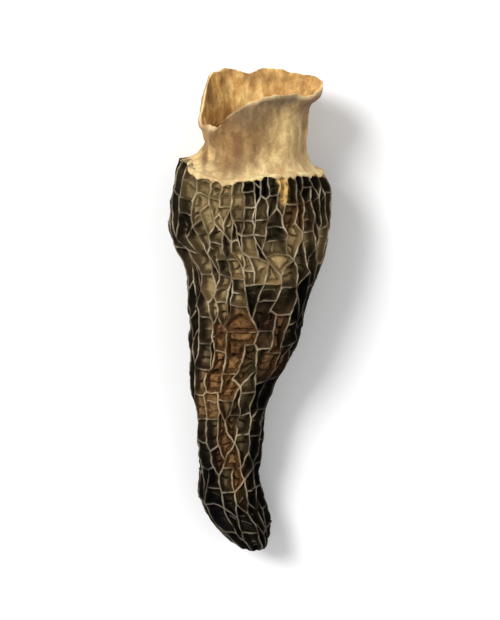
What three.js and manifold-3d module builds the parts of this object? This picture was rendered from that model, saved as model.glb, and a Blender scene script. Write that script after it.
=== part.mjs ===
// A dried morel lying on its side: a hollow, honeycombed cap and the pale hollow stem that it grew on.
// Millimetres, +Z up. The morel lies along Y on the plane Z = 0, its stem's mouth towards +Y, its tip towards -Y.
// The cap's outside is drawn over the crests of its ridges, and the pits go in from there.
import * as THREE from "three";
import { mergeVertices } from "three/addons/utils/BufferGeometryUtils.js";
import Module from "manifold-3d";

const wasm = await Module();
wasm.setup();

// ---- Driving dimensions ----

// Stations of the cap from its rim to its tip: distance along, sideways shift, height of the middle,
// half width and half depth over the crests.
const capStations = [
  [0, 0.1, 12.5, 13.0, 11.3],
  [3.5, 0.25, 12.1, 14.2, 12.2],
  [8, 0.05, 11.7, 14.6, 12.5],
  [13, 0.15, 11.4, 14.1, 12.1],
  [18.5, 0.8, 11.3, 12.1, 10.6],
  [24, 0.35, 10.8, 11.0, 9.8],
  [29.5, -0.35, 10.2, 10.2, 9.1],
  [35, -1.2, 9.4, 9.2, 8.3],
  [40.5, -2.5, 8.5, 7.7, 7.3],
  [46, -3.15, 7.6, 6.5, 6.4],
  [52, -3.3, 6.7, 6.1, 6.0],
  [58, -3.35, 6.0, 5.75, 5.8],
  [63.5, -3.15, 5.55, 6.1, 6.0],
  [68.5, -1.6, 5.4, 5.5, 5.5],
  [72.5, 0.3, 5.4, 3.8, 4.0],
  [74.2, 0.9, 5.4, 0.2, 0.2],
];
// How far the rim is drawn back along the cap, every 45 degrees from the +X side over the top.
const rimWave = [1.2, 1.5, 1.5, 1.7, -1.1, 0.0, 0.4, 0.8];
const rimFade = 6; // distance over which the rim's wave dies out along the cap

// Stations of the stem's outside from the joint with the cap to the lip of its mouth: share of the way,
// sideways shift, height of the middle, half width and half depth.
const stemStations = [
  [0, 0.1, 12.5, 12.2, 10.6],
  [0.1, 0.85, 12.7, 10.6, 9.4],
  [0.25, 1.3, 13.0, 9.3, 8.3],
  [0.45, 1.3, 13.4, 9.0, 7.8],
  [0.65, 1.1, 13.8, 9.4, 7.7],
  [0.85, 1.45, 14.2, 9.75, 7.9],
  [1, 2.3, 14.5, 10.5, 8.3],
];
// How far the lip stands out from the joint, every 15 degrees from the +X side over the top.
const lipReach = [
  13.4, 12.9, 12.4, 12.5, 12.8, 12.8, 12.3, 11.3, 9.8, 7.6, 6.9, 7.0,
  7.9, 12.2, 15.4, 16.2, 16.4, 15.4, 16.5, 16.3, 15.8, 15.4, 14.8, 14.1,
];
const stemWall = 1.2;
const lipWall = 0.7;
// A groove runs down the stem's side, up to the cap.
const grooveAngle = THREE.MathUtils.degToRad(149);
const grooveDepth = 1.1;

const joint = 0.3; // gap left between stem and cap
const rimDepth = 1.6; // depth of the stem's seat below the crests at the rim
const openPit = 1.1; // depth of the rim between two ridges
const skirtDepth = 0.7; // depth of the stem's skirt below the crests, where it laps over the rim
const collarDepth = 1.0; // how far the collar sits into the rim
const flesh = 1.2; // the cap's wall behind the deepest pit
const hollowEnd = 0.86; // share of the cap's stations where its hollow starts to close
const hollowTip = 0.89; // and where it has closed
const hollowRings = 14;

// The pits of the upper side, each a chain of cells between low rungs: distance along the cap and degrees
// round it from the +X side, cell by cell.
const upperPits = [
  [2.7, 156], [8.0, 158], [12.0, 163], [14.4, 172], [16.6, 164], [0.1, 139, 2.3, 138, 4.5, 139, 6.4, 140],
  [9.3, 139, 13.0, 143], [0.4, 124, 2.6, 123], [4.8, 124, 6.9, 126], [1.0, 114, 3.3, 114],
  [2.1, 108, 4.4, 108], [5.7, 114, 6.8, 108], [10.2, 124, 12.0, 123], [8.6, 110], [11.3, 113], [7.9, 119],
  [10.0, 102], [14.0, 132, 16.5, 142], [18.2, 144], [20.6, 150], [24.2, 154], [27.9, 150], [32.0, 146],
  [2.6, 96, 4.8, 96, 7.0, 95], [2.0, 93], [7.0, 90], [3.7, 92], [3.1, 85], [5.8, 82], [7.5, 85],
  [9.9, 83], [12.0, 83], [0.3, 83], [9.7, 90], [13.0, 90], [16.0, 94], [13.5, 84], [16.6, 87], [9.2, 94],
  [10.9, 98], [12.0, 96], [2.1, 77], [1.9, 72], [6.0, 74], [8.6, 72], [10.4, 72], [1.2, 64, 3.9, 66],
  [3.1, 58], [8.1, 58, 12.3, 55], [1.5, 48, 3.8, 51, 6.0, 49], [0.9, 40], [4.3, 42, 7.6, 38], [2.4, 29],
  [5.4, 33, 7.3, 29], [6.4, 24, 8.7, 18], [1.8, 11], [12.6, 16], [11.4, 34], [13.5, 36], [16.4, 7],
  [11.7, 4], [7.2, 9], [16.1, 51], [19.3, 56], [22.4, 54], [22.0, 36], [18.1, 32], [26.3, 44], [30.1, 41],
  [28.1, 18], [13.6, 73, 16.0, 72], [18.4, 74], [21.6, 74], [25.3, 72, 27.5, 70], [31.0, 72],
  [33.9, 70, 36.3, 64], [35.6, 82], [39.0, 70], [29.7, 55], [33.4, 44], [36.7, 38],
  [13.7, 114, 15.7, 118], [17.5, 123], [22.0, 129], [25.3, 134], [13.1, 106], [17.4, 113],
  [20.3, 115, 22.4, 115], [25.1, 116], [22.9, 108], [25.0, 126], [28.5, 119, 31.0, 120], [28.4, 134],
  [13.5, 99, 15.1, 99], [17.2, 103], [20.9, 100], [19.2, 94], [22.8, 100], [22.2, 92],
  [25.4, 98, 27.9, 98], [30.4, 97, 33.0, 99, 36.0, 101], [38.7, 101, 41.0, 98], [34.9, 136], [38.8, 136],
  [38.4, 154], [33.5, 123], [35.8, 118, 38.8, 118], [43.1, 122], [45.1, 144], [44.2, 98], [43.7, 81],
  [43.3, 71], [43.7, 50], [41.3, 38], [48.1, 142], [48.9, 126], [47.9, 105, 51.6, 98], [47.5, 84],
  [47.6, 69], [48.1, 44], [51.9, 68], [52.4, 44], [54.4, 137], [55.4, 108], [58.9, 115], [59.5, 144],
  [54.7, 80, 57.7, 77], [56.2, 50], [59.5, 45], [61.8, 115], [62.2, 154], [59.3, 94], [63.2, 90],
  [62.3, 66], [63.1, 42], [65.9, 156], [66.3, 119], [66.5, 76], [66.3, 52], [69.7, 132], [67.9, 97],
  [71.4, 122], [71.0, 90], [70.2, 63], [69.4, 26], [65.9, 36], [20.5, 10], [24.4, 13], [32.3, 14],
  [36.5, 10], [40.8, 9], [45.4, 12], [50.0, 14], [54.3, 10], [58.8, 12], [63.0, 9], [67.4, 6], [71.2, 2],
];

// The net of ridges. A pair is the least and the most of a random draw.
const underside = [176, 364].map(THREE.MathUtils.degToRad); // where the pits are drawn by chance
const columns = 16; // columns of pits there
const firstPit = [1.5, 7]; // distance from the rim to the first middle of a pit in its column
const shortColumn = [14, 30]; // where every other column ends
const longColumns = [71, 66]; // where the columns between them end, by turns
const lean = [-0.05, 0.05]; // radians that a column is off its even place
const strayAtRim = 0.035; // radians that a pit's middle may stray from its column
const strayAtTip = 0.11;
const cellLengthAtRim = 6.2;
const cellLengthAtTip = 4.3;
const cellSpread = [0.6, 1.45];
const stretch = 0.45; // how much shorter lengthwise distances count when the pits share out the surface
const shortestEdge = 0.6;
const squareRounds = 4; // how often and how far the ridges are turned towards lengthwise and crosswise
const squarePull = 0.3;
const squareLean = 0.7; // an edge that runs steeper than this counts as lengthwise
const splitEdge = 3.4; // longer edges get a middle point
const bow = [-0.3, 0.3]; // how far that point is off the straight
const cornerDip = [0, 0.3]; // how far a crest runs below the outside at its corners
const alongDip = [0, 0.35]; // and midway, where it runs along the cap
const acrossDip = [0.5, 1.0]; // and midway, where it runs across
const rungDip = [0.9, 1.3]; // and midway, between two cells of a chain
const crestHalf = 0.34;
const crestDrop = 0.08; // drop from a crest's middle line to its shoulder
const wallRun = 0.4; // sideways run of a pit's wall
const wallShare = 0.88; // share of a pit's depth at the foot of its wall
const mostPull = 0.62; // the most that a narrow pit's wall may take of the way to its middle
const smallPit = 2.45; // half width of a pit that has no shoulder
const pitAtRim = 2.3;
const pitAtTip = 1.6;

// ---- Small helpers ----

let seed = 20;
function draw() {
  seed = (seed * 1664525 + 1013904223) % 4294967296;
  return seed / 4294967296;
}
const between = (low, high) => low + (high - low) * draw();
const turn = 2 * Math.PI;
const wrap = (angle) => angle - turn * Math.round(angle / turn);
const mix = THREE.MathUtils.lerp;

// A smooth value at t along a row of numbers.
function smooth(before, from, to, after, t) {
  const slope = 0.5 * (to - before);
  const nextSlope = 0.5 * (after - from);
  const bend = 3 * (to - from) - 2 * slope - nextSlope;
  const twist = 2 * (from - to) + slope + nextSlope;
  return ((twist * t + bend) * t + slope) * t + from;
}

// The station at a share of the way along a list of stations.
function stationAt(stations, share) {
  const last = stations.length - 1;
  const place = THREE.MathUtils.clamp(share, 0, 1) * last;
  const i = Math.min(Math.floor(place), last - 1);
  const [from, to] = [stations[i], stations[i + 1]];
  const before = stations[i - 1] ?? from.map((value, k) => 2 * value - to[k]);
  const after = stations[i + 2] ?? to.map((value, k) => 2 * value - from[k]);
  return from.map((value, k) => smooth(before[k], value, to[k], after[k], place - i));
}

// A smooth value at an angle, from values spaced evenly round a circle.
function around(values, angle) {
  const count = values.length;
  const place = ((((angle / turn) % 1) + 1) % 1) * count;
  const i = Math.floor(place);
  const value = (k) => values[(i + k + count) % count];
  return smooth(value(-1), value(0), value(1), value(2), place - i);
}

// ---- The cap's form ----

// Slow lumps of the section, as a share of its radius.
const lumps = (angle, along) =>
  1 + 0.022 * Math.cos(3 * angle + 0.11 * along) + 0.014 * Math.cos(5 * angle - 0.19 * along + 1);

// A point on the cap, at an angle and a share of the way to the tip, sunk below the crests by inset.
function sectionPoint(angle, share, inset, shift = 0) {
  const [along, side, rise, halfWidth, halfDepth] = stationAt(capStations, share);
  const lump = lumps(angle, along);
  const drawnBack = around(rimWave, angle) * Math.exp(-along / rimFade);
  return new THREE.Vector3(
    side + Math.max(halfWidth * lump - inset, 0) * Math.cos(angle),
    -(along + drawnBack + shift),
    rise + Math.max(halfDepth * lump - inset, 0) * Math.sin(angle),
  );
}

// The same point, sunk square to the surface.
function capPoint(angle, share, depth) {
  const step = 1e-3;
  const point = sectionPoint(angle, share, 0);
  const round = sectionPoint(angle + step, share, 0).sub(sectionPoint(angle - step, share, 0));
  const down = sectionPoint(angle, share + step, 0).sub(sectionPoint(angle, share - step, 0));
  const normal = round.cross(down).normalize();
  return point.addScaledVector(normal, -depth);
}

// The surface rolled out flat, so that shapes keep: at each share of the way, the distance run in radii.
const rollSteps = 600;
const rollEnd = 0.985;
const rolled = [0];
for (let i = 1; i <= rollSteps; i++) {
  const from = stationAt(capStations, (rollEnd * (i - 1)) / rollSteps);
  const to = stationAt(capStations, (rollEnd * i) / rollSteps);
  const radius = (from[3] + from[4] + to[3] + to[4]) / 4;
  const run = Math.hypot(to[0] - from[0], (to[3] + to[4] - from[3] - from[4]) / 2);
  rolled.push(rolled[i - 1] + (stretch * run) / radius);
}
const rolledEnd = rolled[rollSteps];

function shareOf(roll) {
  let high = rolled.findIndex((value) => value >= roll);
  if (high < 0) high = rollSteps;
  if (high === 0) return 0;
  const part = (roll - rolled[high - 1]) / (rolled[high] - rolled[high - 1]);
  return (rollEnd * (high - 1 + part)) / rollSteps;
}

function rollOf(along) {
  let i = 1;
  while (i < rollSteps && stationAt(capStations, (rollEnd * i) / rollSteps)[0] < along) i++;
  return rolled[i];
}

const radiusAt = (share) => {
  const station = stationAt(capStations, share);
  return (station[3] + station[4]) / 2;
};
const pitDepth = (share) => mix(pitAtRim, pitAtTip, share);

// ---- The net of ridges ----

// The middles of the pits and the chain that each belongs to: the upper side, then the rest column by column.
function pitMiddles() {
  const middles = [];
  upperPits.forEach((row, chain) => {
    for (let i = 0; i < row.length; i += 2)
      middles.push({ angle: THREE.MathUtils.degToRad(row[i + 1]), roll: rollOf(row[i]), chain });
  });
  for (let column = 0; column < columns; column++) {
    const place = mix(...underside, (column + 0.5) / columns) + between(...lean);
    const end = column % 2 ? between(...shortColumn) : longColumns[(column / 2) % 2];
    let along = between(...firstPit);
    while (along < end) {
      const share = along / capStations.at(-1)[0];
      const stray = between(-1, 1) * mix(strayAtRim, strayAtTip, share);
      middles.push({ angle: place + stray, roll: rollOf(along), chain: -middles.length });
      along += mix(cellLengthAtRim, cellLengthAtTip, Math.sqrt(share)) * between(...cellSpread);
    }
  }
  return middles;
}

// The part of a polygon that lies on the near side of the line halfway to another middle.
function cut(polygon, dx, dy) {
  const half = (dx * dx + dy * dy) / 2;
  const kept = [];
  polygon.forEach((point, i) => {
    const next = polygon[(i + 1) % polygon.length];
    const a = point[0] * dx + point[1] * dy - half;
    const b = next[0] * dx + next[1] * dy - half;
    if (a <= 0) kept.push(point);
    if (a * b < 0) {
      const t = a / (a - b);
      kept.push([mix(point[0], next[0], t), mix(point[1], next[1], t)]);
    }
  });
  return kept;
}

// Each pit's outline round its middle, from the lines halfway to its neighbours.
function pitOutlines(middles) {
  const reach = turn / 5;
  return middles.map(({ angle, roll, chain }) => {
    let polygon = [
      [-reach, -roll],
      [reach, -roll],
      [reach, rolledEnd - roll],
      [-reach, rolledEnd - roll],
    ];
    for (const other of middles) {
      const dx = wrap(other.angle - angle);
      const dy = other.roll - roll;
      if (dx || dy) polygon = cut(polygon, dx, dy);
    }
    return { chain, outline: polygon.map(([x, y]) => ({ angle: angle + x, roll: roll + y })) };
  });
}

const distance = (a, b) =>
  Math.hypot(wrap(a.angle - b.angle), (a.roll - b.roll) / stretch) *
  radiusAt(shareOf((a.roll + b.roll) / 2));

// Outlines that share their corners, with corners that lie close together made one.
function netOf(outlines) {
  const corners = [];
  const faces = outlines.map(({ chain, outline }) => {
    const loop = outline.map((point) => {
      const same = (c) => Math.abs(wrap(c.angle - point.angle)) + Math.abs(c.roll - point.roll) < 1e-5;
      let i = corners.findIndex(same);
      if (i < 0) i = corners.push({ ...point }) - 1;
      return i;
    });
    return { chain, loop };
  });
  const owner = corners.map((_, i) => i);
  const find = (i) => (owner[i] === i ? i : find(owner[i]));
  for (const { loop } of faces)
    loop.forEach((a, k) => {
      const [p, q] = [find(a), find(loop[(k + 1) % loop.length])];
      const rims = (c) => corners[c].roll < 1e-6 || corners[c].roll > rolledEnd - 1e-6;
      if (p === q || distance(corners[p], corners[q]) > shortestEdge || rims(p) !== rims(q)) return;
      corners[p].angle += wrap(corners[q].angle - corners[p].angle) / 2;
      corners[p].roll = (corners[p].roll + corners[q].roll) / 2;
      owner[q] = p;
    });
  for (const face of faces) face.loop = face.loop.map(find).filter((c, k, all) => c !== all.at(k - 1));
  return { corners, faces: faces.filter(({ loop }) => loop.length > 2) };
}

// Turns the edges towards lengthwise and crosswise, as the ridges of a morel run.
function squareUp({ corners, faces }) {
  const sides = new Map();
  for (const { loop } of faces)
    loop.forEach((a, k) => {
      const b = loop[(k + 1) % loop.length];
      sides.set(Math.min(a, b) + "-" + Math.max(a, b), [Math.min(a, b), Math.max(a, b)]);
    });
  for (let round = 0; round < squareRounds; round++) {
    const moves = corners.map(() => ({ x: 0, y: 0, weightX: 0, weightY: 0, shortest: Infinity }));
    for (const [a, b] of sides.values()) {
      const dx = wrap(corners[b].angle - corners[a].angle);
      const dy = (corners[b].roll - corners[a].roll) / stretch;
      const length = Math.hypot(dx, dy);
      const lengthwise = Math.abs(dy) > Math.abs(dx) * squareLean;
      for (const [move, way] of [[moves[a], 1], [moves[b], -1]]) {
        if (lengthwise) move.x += length * way * dx;
        else move.y += length * way * dy;
        if (lengthwise) move.weightX += length;
        else move.weightY += length;
        move.shortest = Math.min(move.shortest, length);
      }
    }
    moves.forEach((move, i) => {
      if (move.shortest === Infinity) return;
      const onEdge = corners[i].roll < 1e-6 || corners[i].roll > rolledEnd - 1e-6;
      const x = move.weightX ? (squarePull * move.x) / move.weightX : 0;
      const y = move.weightY && !onEdge ? (squarePull * move.y) / move.weightY : 0;
      const limit = Math.min((0.25 * move.shortest) / Math.max(Math.hypot(x, y), 1e-9), 1);
      corners[i].angle += x * limit;
      corners[i].roll += y * limit * stretch;
    });
  }
  return { corners, faces };
}

// Adds a middle point to each long edge, a little off the straight, and gives every point its depth. An edge
// between two cells of one chain is a low rung.
function crestLines({ corners, faces }) {
  const points = corners.map((corner) => ({ ...corner, depth: between(...cornerDip) }));
  const nameOf = (a, b) => Math.min(a, b) + "-" + Math.max(a, b);
  const sides = new Map();
  for (const { chain, loop } of faces)
    loop.forEach((a, k) => {
      const key = nameOf(a, loop[(k + 1) % loop.length]);
      sides.set(key, [...(sides.get(key) ?? []), chain]);
    });
  const middles = new Map();
  const loops = faces.map(({ loop }) =>
    loop.flatMap((a, k) => {
      const b = loop[(k + 1) % loop.length];
      const key = nameOf(a, b);
      const [p, q] = [points[a], points[b]];
      const length = distance(p, q);
      const onRim = p.roll < 1e-6 && q.roll < 1e-6;
      const [one, other] = sides.get(key);
      const isRung = one === other;
      if (length < splitEdge && !onRim && !isRung) return [a];
      if (!middles.has(key)) {
        const across = Math.abs(wrap(p.angle - q.angle)) * radiusAt(shareOf(p.roll)) > length / 2;
        const off = onRim ? 0 : between(...bow) / radiusAt(shareOf(p.roll));
        middles.set(key, points.length);
        points.push({
          angle: p.angle + wrap(q.angle - p.angle) / 2 + (across ? 0 : off),
          roll: (p.roll + q.roll) / 2 + (across ? off * stretch : 0),
          depth: onRim ? openPit : between(...(isRung ? rungDip : across ? acrossDip : alongDip)),
        });
      }
      return [a, middles.get(key)];
    }),
  );
  return { points, loops };
}

// A loop moved in towards its middle, by about the same distance all round.
function shrunk(loop, middle, inset) {
  const radius = radiusAt(shareOf(middle.roll));
  const flat = loop.map((p) => [
    wrap(p.angle - middle.angle) * radius,
    ((p.roll - middle.roll) / stretch) * radius,
  ]);
  const off = flat.map(([x, y], i) => {
    const [nx, ny] = flat[(i + 1) % flat.length];
    return Math.abs(x * ny - y * nx) / Math.max(Math.hypot(nx - x, ny - y), 1e-6);
  });
  return loop.map((p, i) => {
    const clear = (off[i] + off.at(i - 1)) / 2;
    const pull = Math.min(inset / clear, mostPull);
    return {
      angle: p.angle - wrap(p.angle - middle.angle) * pull,
      roll: mix(p.roll, middle.roll, pull),
      depth: p.depth,
    };
  });
}

function centreOf(loop) {
  const first = loop[0];
  const mean = (value) => loop.reduce((sum, p) => sum + value(p), 0) / loop.length;
  return {
    angle: first.angle + mean((p) => wrap(p.angle - first.angle)),
    roll: mean((p) => p.roll),
  };
}

// ---- Meshes ----

class Skin {
  points = [];
  triangles = [];
  add(point) {
    return this.points.push(point) - 1;
  }
  face(a, b, c) {
    this.triangles.push(a, b, c);
  }
  band(outer, inner) {
    outer.forEach((a, i) => {
      const k = (i + 1) % outer.length;
      this.face(a, outer[k], inner[k]);
      this.face(a, inner[k], inner[i]);
    });
  }
  fan(loop, centre) {
    loop.forEach((a, i) => this.face(a, loop[(i + 1) % loop.length], centre));
  }
  geometry() {
    return new THREE.BufferGeometry()
      .setAttribute("position", new THREE.Float32BufferAttribute(this.points.flatMap((p) => p.toArray()), 3))
      .setIndex(this.triangles);
  }
}

function toSolid(geometry) {
  const bare = geometry.clone();
  bare.deleteAttribute("normal");
  bare.deleteAttribute("uv");
  const merged = mergeVertices(bare, 1e-4);
  const vertProperties = merged.attributes.position.array;
  const triVerts = new Uint32Array(merged.index.array);
  return new wasm.Manifold(new wasm.Mesh({ numProp: 3, vertProperties, triVerts }));
}

function toGeometry(solid) {
  const { vertProperties, triVerts } = solid.getMesh();
  return new THREE.BufferGeometry()
    .setAttribute("position", new THREE.BufferAttribute(vertProperties, 3))
    .setIndex(new THREE.BufferAttribute(triVerts, 1));
}

// The cap as it grew, before it is flattened where it lies.
function roundCap() {
  const skin = new Skin();
  const { points, loops } = crestLines(squareUp(netOf(pitOutlines(pitMiddles()))));
  const place = (p, depth) => skin.add(capPoint(p.angle, shareOf(p.roll), depth));
  const crest = points.map((p) => place(p, p.depth));
  for (const ids of loops) {
    const loop = ids.map((i) => points[i]);
    const middle = centreOf(loop);
    const deep = pitDepth(shareOf(middle.roll));
    const foot = shrunk(loop, middle, crestHalf + wallRun);
    const footIds = foot.map((p) => place(p, mix(p.depth, deep, wallShare)));
    let top = ids.map((i) => crest[i]);
    if (loop.reduce((sum, p) => sum + distance(p, middle), 0) > smallPit * loop.length) {
      const shoulderIds = shrunk(loop, middle, crestHalf).map((p) => place(p, p.depth + crestDrop));
      skin.band(top, shoulderIds);
      top = shoulderIds;
    }
    skin.band(top, footIds);
    skin.fan(footIds, place(middle, deep));
  }
  const edge = (roll) =>
    points
      .map((p, i) => ({ ...p, id: crest[i], turned: ((p.angle % turn) + turn) % turn }))
      .filter((p, i) => Math.abs(p.roll - roll) < 1e-6 && loops.some((ids) => ids.includes(i)))
      .sort((a, b) => a.turned - b.turned);
  const tip = edge(rolledEnd);
  skin.fan(tip.map((p) => p.id), skin.add(sectionPoint(0, 1, 0)));
  closeInside(skin, edge(0));
  return skin.geometry();
}

// The rim, the seat for the stem's collar, and the hollow that the cap grew round.
function closeInside(skin, rim) {
  const ring = (share, inset, shift) => rim.map((p) => skin.add(sectionPoint(p.angle, share, inset, shift)));
  const rings = [rim.map((p) => p.id), ring(0, rimDepth, 0), ring(0, rimDepth, collarDepth)];
  for (let i = 0; i <= hollowRings; i++) {
    const share = (hollowEnd * i) / hollowRings;
    rings.push(ring(share, pitDepth(share) + flesh, i ? 0 : collarDepth));
  }
  rings.slice(1).forEach((loop, i) => skin.band(loop, rings[i]));
  const last = rings.at(-1);
  const end = skin.add(sectionPoint(0, hollowTip, Infinity));
  last.forEach((a, i) => skin.face(last[(i + 1) % last.length], a, end));
}

// ---- The stem ----

const bump = (x, middle, half) => Math.exp(-(((x - middle) / half) ** 2));

// A point on the stem, at an angle and a share of the way to the lip, sunk in by inset.
function stemPoint(angle, share, inset, extra = 0) {
  const [part, side, rise, halfWidth, halfDepth] = stationAt(stemStations, share);
  const groove = grooveDepth * bump(wrap(angle - grooveAngle), 0, 0.11) * bump(part, 0.15, 0.25);
  const flutes = 0.25 * Math.cos(7 * angle + 2 * part) + 0.3 * part * Math.cos(3 * angle + 1.1);
  const grown = flutes * Math.min(1, 4 * part) - groove - inset;
  const out = part * around(lipReach, angle) - (1 - part) ** 2 * around(rimWave, angle);
  return new THREE.Vector3(
    side + (halfWidth + grown) * Math.cos(angle),
    out + extra,
    rise + (halfDepth + grown) * Math.sin(angle),
  );
}

function stemTube() {
  const skin = new Skin();
  const sides = 48;
  const angles = Array.from({ length: sides }, (_, i) => (turn * i) / sides);
  const rings = [];
  const ring = (point) => rings.push(angles.map((angle) => skin.add(point(angle))));
  const seat = rimDepth + joint;
  ring((angle) => sectionPoint(angle, 0, seat, collarDepth - joint));
  ring((angle) => sectionPoint(angle, 0, seat, -joint));
  ring((angle) => sectionPoint(angle, 0, skirtDepth, -joint));
  const outerRings = 12;
  for (let i = 1; i <= outerRings; i++) ring((angle) => stemPoint(angle, i / outerRings, 0));
  ring((angle) => stemPoint(angle, 1, lipWall / 2, 0.25));
  const innerRings = 8;
  for (let i = innerRings; i > 0; i--) {
    const share = i / innerRings;
    ring((angle) => stemPoint(angle, share, mix(stemWall, lipWall, share ** 4)));
  }
  ring((angle) => sectionPoint(angle, 0, pitDepth(0) + flesh, collarDepth - joint));
  rings.forEach((loop, i) => skin.band(rings[(i + 1) % rings.length], loop));
  return skin.geometry();
}

// ---- The morel ----

// What lies below the surface is pressed flat, so the crests there end in small level spots.
function pressedFlat(geometry) {
  const below = new THREE.BoxGeometry(200, 200, 20).translate(0, 0, -10);
  return toGeometry(toSolid(geometry).subtract(toSolid(below)));
}

function sub(name, geometry, color, roughness) {
  const mesh = new THREE.Mesh(geometry, new THREE.MeshStandardMaterial({ color, roughness, metalness: 0 }));
  mesh.name = name;
  return mesh;
}

const morel = new THREE.Group();
morel.add(sub("cap", pressedFlat(roundCap()), 0x5a4e3e, 0.9));
morel.add(sub("stem", stemTube(), 0xcdab78, 0.8));

// The origin is on the surface under the middle of the morel.
const box = new THREE.Box3().setFromObject(morel);
const middle = box.getCenter(new THREE.Vector3());
morel.position.set(-middle.x, -middle.y, -box.min.z);

export default new THREE.Group().add(morel);
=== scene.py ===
# A dried morel lying on its side: the honeycombed cap and the pale hollow stem, dressed round the CAD frame.
import math

import bmesh
import bpy
import numpy as np
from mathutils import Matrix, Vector, noise


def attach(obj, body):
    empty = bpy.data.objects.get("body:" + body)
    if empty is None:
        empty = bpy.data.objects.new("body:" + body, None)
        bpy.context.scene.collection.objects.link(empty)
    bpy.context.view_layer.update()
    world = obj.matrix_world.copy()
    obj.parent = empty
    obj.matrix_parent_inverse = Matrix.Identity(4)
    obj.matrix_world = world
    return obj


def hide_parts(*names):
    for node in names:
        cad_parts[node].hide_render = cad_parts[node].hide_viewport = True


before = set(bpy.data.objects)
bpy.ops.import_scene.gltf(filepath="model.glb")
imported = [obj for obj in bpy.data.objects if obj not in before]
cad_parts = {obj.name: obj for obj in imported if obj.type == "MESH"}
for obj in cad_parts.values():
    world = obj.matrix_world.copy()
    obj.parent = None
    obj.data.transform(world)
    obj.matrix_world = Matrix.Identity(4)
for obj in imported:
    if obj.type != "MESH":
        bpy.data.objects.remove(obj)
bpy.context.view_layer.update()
print("frame loaded:", sorted(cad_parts))

mm = 0.001
turn = 2 * math.pi
tiny = 1e-6  # a distance that counts as none

# the form of the cap, in mm, from the stem at distance 0 to its tip
capForm = {
    # distance along, sideways shift, height of the middle, half width and half depth over the crests
    "stations": [
        (0, 0.1, 12.5, 13, 11.3), (3.5, 0.25, 12.1, 14.2, 12.2), (8, 0.05, 11.7, 14.6, 12.5),
        (13, 0.15, 11.4, 14.4, 12.1), (18.5, 1.1, 11.3, 12.4, 10.6), (24, 0.2, 10.8, 11.1, 9.8),
        (29.5, -0.3, 10.2, 10.4, 9.1), (35, -1.1, 9.4, 9.5, 8.3), (40.5, -2.7, 8.5, 8.1, 7.3),
        (46, -3.15, 7.6, 6.5, 6.4), (52, -3.4, 6.7, 6.25, 6), (58, -3.6, 6, 5.6, 5.8),
        (63.5, -3.3, 5.55, 6, 6), (68.5, -1.15, 5.4, 5.5, 5.5), (72.5, 0.95, 5.4, 3.6, 4),
        (74.2, 0.9, 5.4, 0.2, 0.2),
    ],
    # how far the rim is drawn back along the cap, every 15 degrees from the +X side over the top
    "rimWave": (
        1.2, 1.2, 1.0, 0.6, 0.5, 0.7, 1.1, 1.6, 1.2, 0.3, -0.4, -0.9,
        -1.1, -0.8, -0.4, 0.0, 0.15, 0.3, 0.4, 0.5, 0.65, 0.8, 0.95, 1.1,
    ),
    "rimFade": 6,
    "rimDepth": 1.6,
    "collarDepth": 1.0,
    "swell": (14, 22, 0.3),  # how far the skin swells out over its frame: from here, to here, mm
    "flesh": 1.2,
    "pitAtRim": 2.3,
    "pitAtTip": 1.6,
    "hollowEnd": 0.86,
    "hollowRings": 26,
}

# the net of ridges; a pair is the least and the most of a random draw
net = {
    "seed": 20,
    "underside": (176, 364),  # degrees round the cap where pits are drawn by chance
    "columns": 16,
    "firstPit": (1.5, 7),
    "shortColumn": (14, 30),
    "longColumns": (71, 66),
    "lean": (-0.05, 0.05),
    "strayAtRim": 0.035,
    "strayAtTip": 0.11,
    "cellLengthAtRim": 6.2,
    "cellLengthAtTip": 4.3,
    "cellSpread": (0.6, 1.45),
    "stretch": 0.45,
    "shortestEdge": 0.6,
    "squareRounds": 4,
    "squarePull": 0.3,
    "squareLean": 0.7,  # an edge that runs steeper than this counts as lengthwise
    "splitEdge": 3.4,
    "bow": (-0.3, 0.3),
    "cornerDip": (0, 0.3),
    "alongDip": (0, 0.35),
    "acrossDip": (0.5, 1.0),
    "rungDip": (0.9, 1.3),
    "openPit": 1.1,
}


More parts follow.
